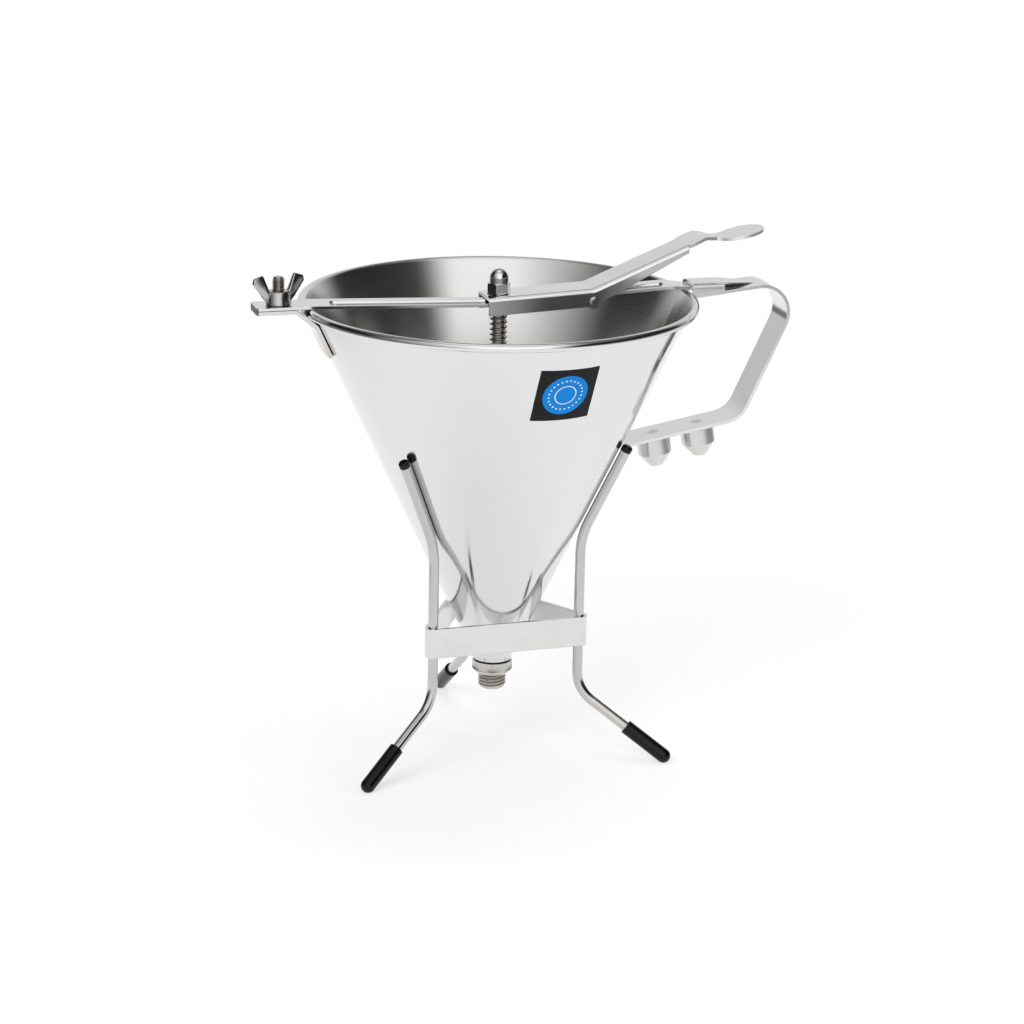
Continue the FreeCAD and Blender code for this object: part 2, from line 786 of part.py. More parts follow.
def lever_plan():
    """Plan of the lever: parallel channel, drawn in to a waist, then the leaf."""
    w, n, b = lever_width / 2, lever_waist_width / 2, leaf_width / 2
    z = bar_low_bottom - through / 2
    side = [V(lever_shoulder_x, w, z), V(lever_waist_x, n, z), V(leaf_middle_x, b, z)]
    end = V(lever_tip_x, 0, z)

    def flank(points):
        curve = Part.BSplineCurve()
        curve.interpolate(points, InitialTangent=V(1, 0, 0), FinalTangent=V(1, 0, 0))
        return curve.toShape()

    low = [V(p.x, -p.y, z) for p in side]
    start = [V(lever_left, -w, z), V(lever_left, w, z)]
    round_end = Part.Arc(side[2], end, low[2]).toShape()
    edges = [Part.LineSegment(start[1], side[0]).toShape(), flank(side), round_end,
             flank(low), Part.LineSegment(low[0], start[0]).toShape(),
             Part.LineSegment(start[0], start[1]).toShape()]
    return Part.Face(Part.Wire(Part.__sortEdges__(edges))).extrude(V(0, 0, through))


def channel_side():
    """Side view of the two flanges under the web, with the lug for the fulcrum pin."""
    half = lever_sheet / 2
    line = lever_web_line()
    rise = math.radians(bar_rise_angle)
    slope = math.radians(lever_slope)
    left, bend = line[0], line[1]
    depth = lever_depth - half
    end_x = lever_channel_end
    end_z = bend[1] + (end_x - bend[0]) * math.tan(slope)
    y = -lever_width / 2
    bottom_left = V(left[0], y, left[1] - depth / math.cos(rise))
    bottom_bend = V(bend[0], y, bend[1] - depth / math.cos(rise))
    bottom_end = V(end_x, y, end_z - lever_depth_at_end)
    face = polyline_face([V(left[0], y, left[1]), bottom_left, bottom_bend, bottom_end,
                          V(end_x, y, end_z), V(bend[0], y, bend[1])])
    side = face.extrude(V(0, lever_width, 0))
    pin = fulcrum_centre()
    lug = Part.makeCylinder(fulcrum_lug_radius, lever_width, pin + V(0, y, 0), V(0, 1, 0))
    return side.fuse(lug)


def rod_slot():
    """Slot in the web, long enough for the rod at rest and at full travel."""
    line = lever_web_line()
    pin = fulcrum_centre()
    arm = fulcrum_x
    above = (line[1][1] - pin.z) * math.cos(math.radians(bar_rise_angle))
    swing = math.radians(lever_travel - bar_rise_angle)
    shift = (arm + above * math.sin(swing)) / math.cos(swing) - arm
    shift += lever_sheet * math.tan(swing)
    clear = piston_rod_radius + hole_fit
    x0, x1 = -clear - shift, clear + hole_fit
    wire = stadium_wire(x0 - hole_fit, x1, 2 * clear, line[0][1] - lever_depth)
    return Part.Face(wire).extrude(V(0, 0, 2 * lever_depth))


def lever():
    """Pressed sheet: a channel over the crossbar, folded on rounded edges, and the leaf."""
    line = lever_web_line()
    radii = [lever_bend_radius, lever_hump_radius, lever_dip_radius]
    web = bent_strip(line, radii, lever_sheet, lever_width)
    split = Part.makeBox(through, through, through,
                         V(lever_channel_end - through, -through / 2, line[0][1] - through / 2))
    block = web.common(split).fuse(channel_side()).removeSplitter()
    folds = []
    for edge in block.Edges:
        box = edge.BoundBox
        rise = max(bar_rise, math.tan(math.radians(lever_slope)) * (box.Center.x > fulcrum_x))
        above = box.Center.z - line[1][1] - (box.Center.x - fulcrum_x) * rise
        if box.YLength < 0.01 and box.XLength > 1 and above > 0:
            folds.append(edge)
    block = block.makeFillet(lever_corner_radius, folds)
    under = lever_sheet / 2 + lever_depth
    start = (lever_left - lever_sheet, line[0][1] - lever_sheet * bar_rise - under)
    hollow_line = [start] + [(x, z - under) for x, z in line[1:3]]
    hollow = bent_strip(hollow_line, [lever_bend_radius + lever_depth],
                        2 * lever_depth, lever_width - 2 * lever_sheet)
    body = block.cut(hollow).fuse(web.cut(split)).common(lever_plan()).cut(rod_slot())
    pin = fulcrum_centre()
    hole = Part.makeCylinder(fulcrum_pin_radius + weld_gap / 2, 2 * lever_width,
                             pin - V(0, lever_width, 0), V(0, 1, 0))
    return body.cut(hole)


def fulcrum_pin():
    """Riveted pin through the flanges, under the crossbar."""
    centre = fulcrum_centre()
    half = lever_width / 2 + weld_gap / 2
    pin = Part.makeCylinder(fulcrum_pin_radius, 2 * half, centre - V(0, half, 0), V(0, 1, 0))
    for side in (-1, 1):
        face = centre + V(0, side * half, 0)
        head = Part.makeCone(fulcrum_head_radius, fulcrum_face_radius, fulcrum_head,
                             face, V(0, side, 0))
        pin = pin.fuse(head)
    return pin.removeSplitter()


# Piston rod, valve and return spring

def valve_seat_top():
    return socket_bottom + socket_depth - weld_gap


def plug_levels():
    """Heights of the valve plug: nose end, seat foot, seat top, skirt top and taper top."""
    lifted = moving_gap * math.sqrt(2)
    nose_radius = outlet_bore_radius - moving_gap
    seat_foot = valve_seat_top() - seat_depth + lifted - moving_gap
    seat_top = seat_foot + plug_shoulder_radius - nose_radius
    return (seat_foot - plug_nose_length, seat_foot, seat_top, seat_top + plug_skirt,
            seat_top + plug_skirt + plug_taper)


def valve_plug():
    """Plug that closes the outlet: a nose in the bore and a cone over the seat."""
    nose_end, seat_foot, seat_top, skirt_top, taper_top = plug_levels()
    nose_radius = outlet_bore_radius - moving_gap
    neck = piston_rod_radius + plug_neck_wall
    body = revolve_profile([
        (0, nose_end),
        (nose_radius - plug_nose_chamfer, nose_end),
        (nose_radius, nose_end + plug_nose_chamfer),
        (nose_radius, seat_foot),
        (plug_shoulder_radius, seat_top),
        (plug_shoulder_radius, skirt_top),
        (neck, taper_top),
        (0, taper_top)])
    socket = Part.makeCylinder(piston_rod_radius + weld_gap / 2, taper_top - seat_top,
                               V(0, 0, seat_top))
    return body.cut(socket)


def nut_base():
    """Underside of the cap nut, just above the sloping web under its far corner."""
    web_top = lever_web_line()[0]
    at_axis = web_top[1] - lever_left * bar_rise + lever_sheet / 2
    return at_axis + nut_across_flats / math.sqrt(3) * bar_rise + weld_gap * 2


def piston_rod():
    bottom = plug_levels()[2] + weld_gap
    top = nut_base() + nut_engagement
    rod = Part.makeCylinder(piston_rod_radius, top - bottom, V(0, 0, bottom))
    tip = [e for e in rod.Edges if abs(e.CenterOfMass.z - top) < 0.01]
    return rod.makeChamfer(piston_rod_chamfer, tip)


def cap_nut():
    """Domed nut on the rod's upper end, a hexagon with a bullet-shaped cap."""
    base = nut_base()
    hexagon = hexagon_prism(nut_across_flats, nut_hex_height, V(0, 0, base))
    corner, flat = nut_across_flats / math.sqrt(3), nut_across_flats / 2
    top = base + nut_hex_height
    rounded = revolve_profile([
        (0, base),
        (flat, base),
        (corner, base + nut_corner_chamfer),
        (corner, top - nut_corner_chamfer),
        (flat, top),
        (0, top)])
    straight = nut_height - nut_hex_height - nut_dome_radius
    cap = Part.makeCylinder(nut_dome_radius, straight, V(0, 0, top))
    dome = Part.makeSphere(nut_dome_radius, V(0, 0, top + straight))
    nut = hexagon.common(rounded).fuse([cap, dome]).removeSplitter()
    hole = Part.makeCylinder(piston_rod_radius + weld_gap / 2, nut_engagement + weld_gap,
                             V(0, 0, base))
    return nut.cut(hole)


def spring_top():
    """Height where the spring meets the sloping underside of the bar."""
    return bar_bottom(-spring_outer_radius) - weld_gap


def spring_collar():
    top = spring_top() - spring_length
    ring = Part.makeCylinder(spring_collar_radius, spring_collar_height,
                             V(0, 0, top - spring_collar_height))
    rims = [e for e in ring.Edges if e.Length > spring_collar_radius * 6]
    ring = ring.makeChamfer(spring_collar_chamfer, rims)
    return ring.cut(Part.makeCylinder(piston_rod_radius + weld_gap / 2, spring_collar_height,
                                      V(0, 0, top - spring_collar_height)))


def arc_through(a, control, b):
    """Arc from a to b that is tangent to the lines a-control and control-b."""
    middle = (a + b) * 0.5
    half = (b - a).Length / 2
    leg = (control - a).Length
    height = (control - middle).Length
    sag = half * (leg - half) / height
    return Part.Arc(a, middle + (control - middle).normalize() * sag, b).toShape()


def biarc(p0, t0, p1, t1):
    """Two tangent arcs from p0 along t0 to p1 along t1."""
    v = p1 - p0
    t = t0 + t1
    a = t.dot(t) - 4
    b = -2 * v.dot(t)
    c = v.dot(v)
    d = (-b - math.sqrt(b * b - 4 * a * c)) / (2 * a)
    q0, q1 = p0 + t0 * d, p1 - t1 * d
    joint = (q0 + q1) * 0.5
    return [arc_through(p0, q0, joint), arc_through(joint, q1, p1)]


def return_spring():
    """Coil spring as one round wire, its ends turned square to what they meet."""
    radius, wire = spring_mean_radius, spring_wire
    top, bottom = spring_top(), spring_top() - spring_length
    inset = wire + spring_end_bend
    rise = spring_length - 2 * inset
    steps = round(rise / spring_pitch * 2)
    step_rise = rise / steps
    climb = step_rise / math.pi
    length = math.hypot(radius, climb)

    def on_helix(i):
        turn = math.pi * i
        point = V(radius * math.cos(turn), radius * math.sin(turn),
                  bottom + inset + step_rise * i)
        way = V(-radius * math.sin(turn), radius * math.cos(turn), climb) * (1 / length)
        return point, way

    edges = []
    for i in range(steps):
        edges += biarc(*on_helix(i), *on_helix(i + 1))
    up = V(0, 0, 1)
    first, first_way = on_helix(0)
    last, last_way = on_helix(steps)
    low_corner = first - first_way * spring_end_bend
    low_end = low_corner - up * spring_end_bend
    high_corner = last + last_way * spring_end_bend
    high_end = high_corner + up * spring_end_bend
    start = V(low_end.x, low_end.y, bottom)
    finish = V(high_end.x, high_end.y, top)
    edges = [Part.LineSegment(start, low_end).toShape(), arc_through(low_end, low_corner, first)] \
        + edges + [arc_through(last, high_corner, high_end),
                   Part.LineSegment(high_end, finish).toShape()]
    spine = Part.Wire(edges)
    ring = Part.Wire([Part.Circle(start, up, wire / 2).toShape()])
    spring = spine.makePipeShell([ring], True, False)
    print("spring turns %.1f" % (steps / 2), "least gap to itself %.2f" % self_gap(spine, wire))
    return spring


def self_gap(spine, wire):
    """Least distance between stretches of wire that aren't next to each other."""
    step = wire / 2
    points = spine.discretize(Distance=step)
    apart = int(math.pi * spring_mean_radius / step)
    return min((p - q).Length for i, p in enumerate(points)
               for q in points[i + apart:i + 3 * apart]) - wire


save(funnel_cone(), "funnel_cone")
save(outlet_socket(), "outlet_socket")
save(outlet_gasket(), "outlet_gasket")
save(outlet_adapter(), "outlet_adapter")
for number, side in enumerate(("rear", "left", "right")):
    direction = leg_direction(number)
    save(stand_leg(direction), "leg_" + side)
    save(foot_cap(direction), "foot_cap_" + side)
    save(tip_plug(direction), "tip_plug_" + side)
save(stand_band(), "stand_band")
save(crossbar(), "crossbar")
save(clamp_bracket(), "clamp_bracket")
save(clamp_stud(), "clamp_stud")
save(wing_nut(), "wing_nut")
save(handle(), "handle")
save(nozzle_studs(), "nozzle_studs")
save(nozzle(0), "nozzle_inner")
save(nozzle(1), "nozzle_outer")
save(lever(), "lever")
save(fulcrum_pin(), "fulcrum_pin")
save(piston_rod(), "piston_rod")
save(valve_plug(), "valve_plug")
save(cap_nut(), "cap_nut")
save(spring_collar(), "spring_collar")
save(return_spring(), "return_spring")
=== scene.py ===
# %% [markdown]
# # A piston funnel for batter, dressed for its portrait
#
# The object is a steel funnel with a lever-lifted valve. It hangs in a stand of three bent rods.
# The frame holds every solid piece at its true place and size. This notebook gives the pieces
# their finishes, cuts the screw threads and the knurl, sticks a plain label on the cone and sets
# up the photographer's table.

# %% Load the frame
import bpy
import math
from mathutils import Matrix, Vector


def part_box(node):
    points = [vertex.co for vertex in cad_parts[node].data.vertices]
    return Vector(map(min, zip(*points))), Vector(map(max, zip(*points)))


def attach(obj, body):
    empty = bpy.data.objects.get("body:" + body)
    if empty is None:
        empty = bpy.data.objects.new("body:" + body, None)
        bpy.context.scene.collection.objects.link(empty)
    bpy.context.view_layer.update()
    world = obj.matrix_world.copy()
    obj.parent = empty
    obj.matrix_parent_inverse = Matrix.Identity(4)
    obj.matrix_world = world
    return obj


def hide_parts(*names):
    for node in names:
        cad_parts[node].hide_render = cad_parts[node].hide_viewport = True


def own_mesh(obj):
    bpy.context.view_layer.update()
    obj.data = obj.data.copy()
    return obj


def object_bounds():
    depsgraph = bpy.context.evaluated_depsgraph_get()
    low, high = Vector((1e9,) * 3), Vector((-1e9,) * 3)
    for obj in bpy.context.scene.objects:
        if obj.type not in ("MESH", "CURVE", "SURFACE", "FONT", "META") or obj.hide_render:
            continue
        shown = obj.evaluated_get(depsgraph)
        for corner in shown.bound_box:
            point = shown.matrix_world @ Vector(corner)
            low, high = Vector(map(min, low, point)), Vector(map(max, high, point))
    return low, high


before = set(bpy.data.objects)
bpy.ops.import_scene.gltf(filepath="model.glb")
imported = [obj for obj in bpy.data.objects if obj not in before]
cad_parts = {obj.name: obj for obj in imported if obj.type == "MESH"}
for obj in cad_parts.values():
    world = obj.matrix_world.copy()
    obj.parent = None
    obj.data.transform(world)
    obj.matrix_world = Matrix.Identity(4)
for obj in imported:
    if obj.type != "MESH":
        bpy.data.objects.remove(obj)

cad_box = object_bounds()
floor_z = cad_box[0][2]
MM = 0.001
print("frame box", cad_box)


# %% [markdown]
# Every operator in Blender acts on what is selected. So each step begins by clearing the
# selection, and a small helper does that. A second one takes a single piece in hand. A third lays
# a finished piece down with its place in its mesh and its object at the origin, as the frame's
# own pieces are.

# %% Three small habits
def clear_selection():
    if bpy.context.object and bpy.context.object.mode != "OBJECT":
        bpy.ops.object.mode_set(mode="OBJECT")
    bpy.ops.object.select_all(action="DESELECT")


def take(piece):
    clear_selection()
    piece.select_set(True)
    bpy.context.view_layer.objects.active = piece


def settle(piece, angle=32):
    take(piece)
    bpy.ops.object.transform_apply(location=True, rotation=True, scale=True)
    bpy.ops.object.shade_smooth_by_angle(angle=math.radians(angle))
    print(piece.name, "faces", len(piece.data.polygons))


# %% [markdown]
# ## Steel
#
# All the metal is stainless steel, but each piece left another machine. A finish in Blender is a
# node tree on a Principled shader. The brushing is a noise stretched along the direction of the
# belt, and it drives a little bump and a little roughness, because that is what real scratches
# do. Short helpers make the nodes, so that each finish reads as a recipe.

# %% Node helpers
def new_material(name):
    material = bpy.data.materials.new(name)
    material.use_nodes = True
    tree = material.node_tree
    return material, tree, tree.nodes["Principled BSDF"]


def noise(tree, vector, detail=2.0, rough=0.5):
    node = tree.nodes.new("ShaderNodeTexNoise")
    node.inputs["Scale"].default_value = 1.0
    node.inputs["Detail"].default_value = detail
    node.inputs["Roughness"].default_value = rough
    tree.links.new(vector, node.inputs["Vector"])
    return node.outputs["Fac"]


def ramp(tree, value, low, high, to_low, to_high):
    node = tree.nodes.new("ShaderNodeMapRange")
    node.inputs["From Min"].default_value = low
    node.inputs["From Max"].default_value = high
    node.inputs["To Min"].default_value = to_low
    node.inputs["To Max"].default_value = to_high
    tree.links.new(value, node.inputs["Value"])
    return node.outputs["Result"]


def maths(tree, operation, a, b=None):
    node = tree.nodes.new("ShaderNodeMath")
    node.operation = operation
    for socket, value in zip(node.inputs, (a, b)):
        if value is None:
            continue
        if isinstance(value, (int, float)):
            socket.default_value = value
        else:
            tree.links.new(value, socket)
    return node.outputs[0]


def place_on_object(tree):
    return tree.nodes.new("ShaderNodeTexCoord").outputs["Object"]


def stretched(tree, scale):
    mapping = tree.nodes.new("ShaderNodeMapping")
    mapping.inputs["Scale"].default_value = scale
    tree.links.new(place_on_object(tree), mapping.inputs["Vector"])
    return mapping.outputs["Vector"]


def blend(tree, factor, first, second):
    node = tree.nodes.new("ShaderNodeMixRGB")
    tree.links.new(factor, node.inputs["Fac"])
    for socket, value in ((node.inputs["Color1"], first), (node.inputs["Color2"], second)):
        if isinstance(value, tuple):
            socket.default_value = (*value, 1)
        else:
            tree.links.new(value, socket)
    return node.outputs["Color"]


def add_bump(tree, shader, height, strength, distance, edge=0.0):
    bump = tree.nodes.new("ShaderNodeBump")
    if edge:
        rounded = tree.nodes.new("ShaderNodeBevel")
        rounded.samples = 4
        rounded.inputs["Radius"].default_value = edge
        tree.links.new(rounded.outputs[0], bump.inputs["Normal"])
    bump.inputs["Strength"].default_value = strength
    bump.inputs["Distance"].default_value = distance
    tree.links.new(height, bump.inputs["Height"])
    tree.links.new(bump.outputs["Normal"], shader.inputs["Normal"])


# %% [markdown]
# A weld leaves two things on polished steel: a straw and brown tint from the heat, and a slightly
# duller spot. Both fade with the distance from the weld, so a mask of that distance is enough. It
# reads the piece's own coordinates, which keeps the tint in place when the piece moves.

# %% Heat tint
def near_point(tree, centre, inner, outer):
    distance = tree.nodes.new("ShaderNodeVectorMath")
    distance.operation = "DISTANCE"
    tree.links.new(place_on_object(tree), distance.inputs[0])
    distance.inputs[1].default_value = centre
    return ramp(tree, distance.outputs["Value"], inner, outer, 1.0, 0.0)


def heat_tint(tree, colour, welds):
    for centre, inner, outer, tint in welds:
        colour = blend(tree, near_point(tree, centre, inner, outer), colour, tint)
    return colour


# %% [markdown]
# Where two strips are clamped flat on each other, a thin dark line is painted along the seam as
# the shade in the gap between them. Without it the bar and its bracket would read as one thick
# block.

# %% Painted seam shade
clamp_end = -0.0940
# The colour of the painted shade in the gap where the strips lie clamped.
painted_seam_shade = (0.05, 0.045, 0.04)


def paint_seam_shade(tree, colour, height, half):
    split = tree.nodes.new("ShaderNodeSeparateXYZ")
    tree.links.new(place_on_object(tree), split.inputs[0])
    off = maths(tree, "ABSOLUTE", maths(tree, "SUBTRACT", split.outputs[2], height))
    clamped = ramp(tree, split.outputs[0], clamp_end - 0.002, clamp_end, 1, 0)
    line = maths(tree, "MULTIPLY", ramp(tree, off, half * 0.6, half, 1, 0), clamped)
    return blend(tree, line, colour, painted_seam_shade)


# %% [markdown]
# One recipe serves every brushed or satin steel. It takes the tone, the range of roughness and
# the grain, which is the scale of the noise along each axis, in waves per metre. A strip that is
# bent in the upright plane keeps its lines along the strip if the grain varies across it alone.
# Smears from hands and cloths dull and darken it in soft patches. A strip also has its edges broken
# by the polishing, and the edge value is the radius of that bright line.

# %% Steels
steels = {}


def steel(name, tone, rough_low, rough_high, grain, depth=0.02, contrast=0.05, welds=(),
          seam=0.0, edge=0.0):
    material, tree, shader = new_material(name)
    shader.inputs["Metallic"].default_value = 1.0
    lines = noise(tree, stretched(tree, grain), 3.0, 0.6)
    smears = noise(tree, stretched(tree, (34, 34, 34)), 3.0)
    rough = maths(tree, "ADD", ramp(tree, lines, 0.3, 0.7, rough_low, rough_high),
                  ramp(tree, smears, 0.35, 0.65, -0.02, 0.03))
    tree.links.new(rough, shader.inputs["Roughness"])
    dark = tuple(c * (1 - contrast) for c in tone)
    colour = blend(tree, ramp(tree, lines, 0.3, 0.7, 0, 1), dark, tone)
    worn = tuple(c * 0.90 for c in tone)
    colour = blend(tree, ramp(tree, smears, 0.5, 0.75, 0, 0.8), colour, worn)
    colour = heat_tint(tree, colour, welds)
    # Along the clamped seam a thin dark line of painted shade is laid into the colour.
    if seam:
        colour = paint_seam_shade(tree, colour, seam, half=0.00022)
    tree.links.new(colour, shader.inputs["Base Color"])
    add_bump(tree, shader, lines, depth, 0.0002, edge)
    steels[name] = material


bracket_weld = ((-0.0865, 0.0, 0.1700), 0.004, 0.011, (0.52, 0.45, 0.36))
spot_welds = [((x, 0.0, z), 0.0014, 0.0038, (0.50, 0.48, 0.45))
              for x, z in ((0.08114, 0.1198), (0.10394, 0.1238))]
bracket_sheet = 0.002
seam_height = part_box("clamp_stud")[0][2] + bracket_sheet
strip_edge = 0.00035
steel("bar steel", (0.80, 0.80, 0.80), 0.12, 0.18, (60, 1100, 60), seam=seam_height,
      edge=strip_edge)
steel("lever steel", (0.80, 0.80, 0.795), 0.14, 0.20, (60, 1100, 60), edge=strip_edge)
steel("bracket steel", (0.74, 0.74, 0.735), 0.10, 0.16, (60, 1100, 60), welds=[bracket_weld],
      seam=seam_height, edge=strip_edge)
steel("handle steel", (0.80, 0.80, 0.795), 0.12, 0.18, (50, 900, 50), welds=spot_welds,
      edge=strip_edge)
steel("rod steel", (0.57, 0.56, 0.545), 0.13, 0.21, (420, 420, 160))
steel("band steel", (0.76, 0.76, 0.75), 0.16, 0.28, (60, 60, 900), depth=0.015,
      contrast=0.08, edge=strip_edge)
steel("turned steel", (0.69, 0.685, 0.67), 0.16, 0.24, (120, 120, 2600))
steel("knurled steel", (0.62, 0.605, 0.58), 0.16, 0.24, (300, 300, 1200))
steel("thread steel", (0.42, 0.39, 0.36), 0.18, 0.26, (300, 300, 1200))
steel("bright steel", (0.76, 0.76, 0.76), 0.05, 0.10, (160, 160, 160), depth=0.01,
      edge=0.0002)
steel("cast steel", (0.50, 0.495, 0.485), 0.14, 0.24, (700, 700, 700), depth=0.03)
steel("spring wire", (0.42, 0.37, 0.33), 0.14, 0.24, (500, 500, 500))
print("steels", sorted(steels))


# %% [markdown]
# The cone is one sheet with two faces. Outside it is polished almost to a mirror. Inside it was
# left as the spinning lathe left it, with fine rings round the axis. The shader tells the two
# apart by the way the surface faces: the outside looks away from the axis. The rings are a noise
# that hardly changes round the axis and changes fast up the wall.
#
# Fine rings also smear what the steel mirrors across them, up and down the wall. The shader's
# anisotropy does that, with its tangent laid round the axis and turned a quarter.

# %% Cone finish
ring_waves, ring_wander = 2400.0, 0.06


def cone_finish():
    material, tree, shader = new_material("cone steel")
    shader.inputs["Metallic"].default_value = 1.0
    shader.inputs["Anisotropic"].default_value = 0.8
    shader.inputs["Anisotropic Rotation"].default_value = 0.25
    round_axis = tree.nodes.new("ShaderNodeTangent")
    round_axis.direction_type = "RADIAL"
    round_axis.axis = "Z"
    tree.links.new(round_axis.outputs[0], shader.inputs["Tangent"])
    coords = tree.nodes.new("ShaderNodeTexCoord")
    split = tree.nodes.new("ShaderNodeSeparateXYZ")
    tree.links.new(coords.outputs["Object"], split.inputs[0])
    facing = tree.nodes.new("ShaderNodeSeparateXYZ")
    tree.links.new(coords.outputs["Normal"], facing.inputs[0])
    outward = maths(tree, "ADD", maths(tree, "MULTIPLY", split.outputs[0], facing.outputs[0]),
                    maths(tree, "MULTIPLY", split.outputs[1], facing.outputs[1]))
    outside = ramp(tree, outward, -0.002, 0.002, 0, 1)
    angle = maths(tree, "ARCTAN2", split.outputs[1], split.outputs[0])
    around = tree.nodes.new("ShaderNodeCombineXYZ")
    for wave, socket in (("COSINE", 0), ("SINE", 1)):
        tree.links.new(maths(tree, "MULTIPLY", maths(tree, wave, angle), ring_wander),
                       around.inputs[socket])
    tree.links.new(maths(tree, "MULTIPLY", split.outputs[2], ring_waves), around.inputs[2])
    rings = noise(tree, around.outputs[0], 4.0, 0.65)
    soft = noise(tree, stretched(tree, (14, 14, 22)))
    inner_rough = ramp(tree, rings, 0.3, 0.7, 0.22, 0.28)
    outer_rough = maths(tree, "ADD", ramp(tree, soft, 0.35, 0.65, 0.08, 0.14),
                        ramp(tree, rings, 0.4, 0.8, 0, 0.03))
    mix = tree.nodes.new("ShaderNodeMix")
    tree.links.new(outside, mix.inputs["Factor"])
    tree.links.new(inner_rough, mix.inputs["A"])
    tree.links.new(outer_rough, mix.inputs["B"])
    tree.links.new(mix.outputs["Result"], shader.inputs["Roughness"])
    tone = blend(tree, outside, (0.73, 0.73, 0.715), (0.75, 0.75, 0.755))
    ringed = blend(tree, maths(tree, "MULTIPLY", ramp(tree, rings, 0.35, 0.75, 0, 0.08), maths(
        tree, "SUBTRACT", 1.15, outside)), tone, (0.3, 0.3, 0.3))
    tree.links.new(ringed, shader.inputs["Base Color"])
    height = maths(tree, "MULTIPLY", rings, maths(tree, "SUBTRACT", 1.04, outside))
    add_bump(tree, shader, height, 0.03, 0.0002)
    return material


steels["cone steel"] = cone_finish()
print("cone rings per metre", ring_waves)


# %% [markdown]
# ## Black coats
#
# The feet and the tips are dipped in vinyl. It is black and smooth with a slow waviness, because
# it flowed before it set, and fine dust dulls it in spots. The gasket is moulded rubber, rougher.

# %% Black vinyl and rubber
def black_coat(name, low, high, wave):
    material, tree, shader = new_material(name)
    flow = noise(tree, stretched(tree, (wave, wave, wave)))
    dust = noise(tree, stretched(tree, (900, 900, 900)))
    shader.inputs["Specular IOR Level"].default_value = 0.25
    tree.links.new(maths(tree, "ADD", ramp(tree, flow, 0.3, 0.7, low, high),
                         ramp(tree, dust, 0.4, 0.8, 0, 0.05)), shader.inputs["Roughness"])
    tree.links.new(blend(tree, ramp(tree, dust, 0.45, 0.75, 0, 1), (0.002, 0.002, 0.0022),
                         (0.006, 0.006, 0.0065)), shader.inputs["Base Color"])
    add_bump(tree, shader, flow, 0.06, 0.0006)
    return material


vinyl = black_coat("black vinyl", 0.13, 0.20, 200)
rubber = black_coat("black rubber", 0.5, 0.65, 900)
print("coats", vinyl.name, rubber.name)


# %% [markdown]
# Each piece of the frame takes the finish of the machine it came from.

# %% Put the finishes on
finishes = {
    "funnel_cone": "cone steel", "outlet_socket": "turned steel", "leg_rear": "rod steel",
    "leg_left": "rod steel", "leg_right": "rod steel", "stand_band": "band steel",
    "crossbar": "bar steel", "clamp_bracket": "bracket steel", "handle": "handle steel",
    "lever": "lever steel", "clamp_stud": "turned steel", "wing_nut": "cast steel",
    "nozzle_studs": "turned steel", "nozzle_inner": "turned steel",
    "nozzle_outer": "turned steel", "fulcrum_pin": "turned steel", "piston_rod": "turned steel",
    "valve_plug": "turned steel", "cap_nut": "bright steel", "spring_collar": "turned steel",
    "return_spring": "spring wire", "outlet_adapter": "knurled steel"}
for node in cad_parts:
    piece = bpy.data.objects[node]
    coat = steels.get(finishes.get(node))
    if coat is None:
        coat = rubber if node == "outlet_gasket" else vinyl
    piece.data.materials.clear()
    piece.data.materials.append(coat)
print("dressed", len(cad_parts), "pieces")


# %% [markdown]
# ## Turned pieces
#
# A turned piece is an outline carried round its axis, as on a lathe. So the first tool draws an
# outline: a plane is merged to one point, and the point is extruded from corner to corner. The
# corners are given in millimetres, as distance from the axis and height.

# %% Drawn line
def drawn_line(name, corners):
    clear_selection()
    bpy.ops.mesh.primitive_plane_add(size=MM, location=(0, 0, 0))
    piece = bpy.context.object
    piece.name = name
    piece.data.name = name
    bpy.ops.object.mode_set(mode="EDIT")
    bpy.ops.mesh.select_all(action="SELECT")
    bpy.ops.mesh.merge(type="CENTER")
    bpy.ops.transform.translate(value=(corners[0][0] * MM, 0, corners[0][1] * MM))
    for (r0, z0), (r1, z1) in zip(corners, corners[1:]):
        bpy.ops.mesh.extrude_vertices_move(TRANSFORM_OT_translate={
            "value": ((r1 - r0) * MM, 0, (z1 - z0) * MM)})
    bpy.ops.mesh.select_all(action="SELECT")
    bpy.ops.mesh.remove_doubles(threshold=1e-6)
    return piece


# %% [markdown]
# The lathe spins the outline by a full turn. The spin leaves a seam where it closes, so the
# doubles are merged, and the normals are made to agree.

# %% Lathe
seam_gap = 2e-6


def turned(name, outline, steps):
    piece = drawn_line(name, outline)
    bpy.ops.mesh.spin(steps=steps, angle=2 * math.pi, center=(0, 0, 0), axis=(0, 0, 1))
    bpy.ops.mesh.select_all(action="SELECT")
    bpy.ops.mesh.remove_doubles(threshold=seam_gap)
    bpy.ops.mesh.normals_make_consistent(inside=False)
    bpy.ops.object.mode_set(mode="OBJECT")
    print(name, "points", len(piece.data.vertices))
    return piece


# %% [markdown]
# What the Screw modifier winds is open at both ends. One more tool merges the doubles, fills the
# two holes that it finds and makes the normals agree. It serves the threads and the spring.

# %% Closed ends
def close_ends(piece, gap):
    take(piece)
    bpy.ops.object.mode_set(mode="EDIT")
    bpy.ops.mesh.select_all(action="SELECT")
    bpy.ops.mesh.remove_doubles(threshold=gap)
    bpy.ops.mesh.select_all(action="DESELECT")
    bpy.ops.mesh.select_non_manifold()
    bpy.ops.mesh.fill_holes(sides=0)
    bpy.ops.mesh.select_all(action="SELECT")
    bpy.ops.mesh.normals_make_consistent(inside=False)
    bpy.ops.object.mode_set(mode="OBJECT")


# %% [markdown]
# A screw thread is a ridge that climbs as it goes round. The ridge starts as a small wedge
# section, and the Screw modifier carries it round and up. Its foot lies just inside the core, so
# the two need no cutting to fit.

# %% Thread
foot_depth = 0.12


def section(name, corners):
    piece = drawn_line(name, corners + corners[:1])
    bpy.ops.object.mode_set(mode="OBJECT")
    return piece


